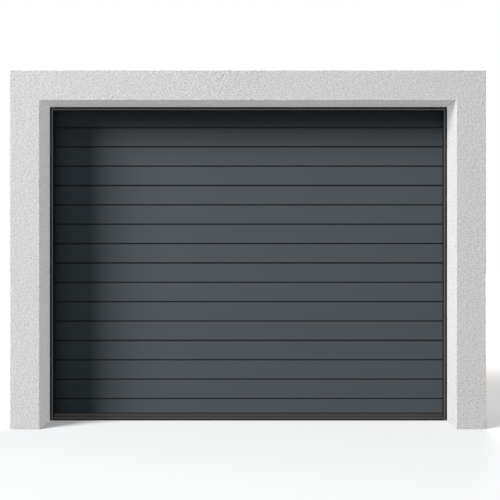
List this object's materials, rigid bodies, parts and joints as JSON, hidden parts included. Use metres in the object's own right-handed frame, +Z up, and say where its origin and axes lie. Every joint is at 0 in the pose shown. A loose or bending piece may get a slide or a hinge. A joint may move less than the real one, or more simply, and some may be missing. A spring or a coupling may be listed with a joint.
{
  "type": "sectional garage door",
  "caption": "Sectional garage door with fine horizontal grooves in a plastered wall opening, with frame, tracks, hinges, rollers and torsion spring counterbalance; its first lift is jointed.",
  "frame": {"origin": "on the floor, in the middle of the threshold strip's front edge, in the plane of the wall's inner face", "axes": "+X to the right along the wall seen from outside, +Y into the garage, +Z up"},
  "size_m": [2.9046, 2.67, 2.45],
  "materials": {
    "plaster": "rough plaster",
    "door_steel": "satin anthracite coat",
    "frame_steel": "satin dark grey coat",
    "black_rubber": "matt",
    "black_plastic": "matt",
    "nylon": "satin",
    "galvanised_steel": "galvanised",
    "spring_steel": "oiled",
    "cast_aluminium": "cast",
    "wire_rope": "stranded"
  },
  "bodies": {
    "root": {"cable_drums": "cast_aluminium", "ceiling_hangers": "galvanised_steel", "centre_bearing_plate": "galvanised_steel", "curved_track_left": "galvanised_steel", "curved_track_right": "galvanised_steel", "end_bearing_plates": "galvanised_steel", "frame_header": "frame_steel", "frame_leg_left": "frame_steel", "frame_leg_right": "frame_steel", "header_seal": "black_rubber", "horizontal_track_left": "galvanised_steel", "horizontal_track_right": "galvanised_steel", "lift_cables": "wire_rope", "rear_cross_tie": "galvanised_steel", "side_seal_left": "black_rubber", "side_seal_right": "black_rubber", "spring_cones": "cast_aluminium", "threshold_strip": "black_plastic", "top_track_brackets": "galvanised_steel", "top_track_left": "galvanised_steel", "top_track_right": "galvanised_steel", "torsion_shaft": "galvanised_steel", "torsion_spring_left": "spring_steel", "torsion_spring_right": "spring_steel", "track_brackets": "galvanised_steel", "track_spacers": "galvanised_steel", "vertical_track_left": "galvanised_steel", "vertical_track_right": "galvanised_steel", "wall_lintel": "plaster", "wall_pier_left": "plaster", "wall_pier_right": "plaster"},
    "curtain": {"section_1": "door_steel", "section_2": "door_steel", "section_3": "door_steel", "bottom_retainer": "black_plastic", "bottom_seal": "black_rubber", "low_hinges": "galvanised_steel", "middle_hinges": "galvanised_steel", "top_hinge_lower_leaves": "galvanised_steel", "top_hinge_pins": "galvanised_steel", "bottom_brackets": "galvanised_steel", "guide_rollers": "nylon"},
    "top_section": {"section_4": "door_steel", "top_hinge_upper_leaves": "galvanised_steel", "top_brackets": "galvanised_steel", "top_rollers": "nylon"}
  },
  "joints": [
    {"name": "door_lift", "type": "slide", "parent": "root", "child": "curtain", "axis": [0, 0, 1], "range_m": [0, 0.298], "deforming": ["lift_cables"]},
    {"name": "top_section_tilt", "type": "hinge", "parent": "curtain", "child": "top_section", "pos_m": [0, 0.091, 1.507], "axis": [-1, 0, 0], "range_deg": [0, 42.75]}
  ],
  "couplings": [
    {"joint": "top_section_tilt", "follows": "door_lift", "rad_per_m": 2.503}
  ]
}
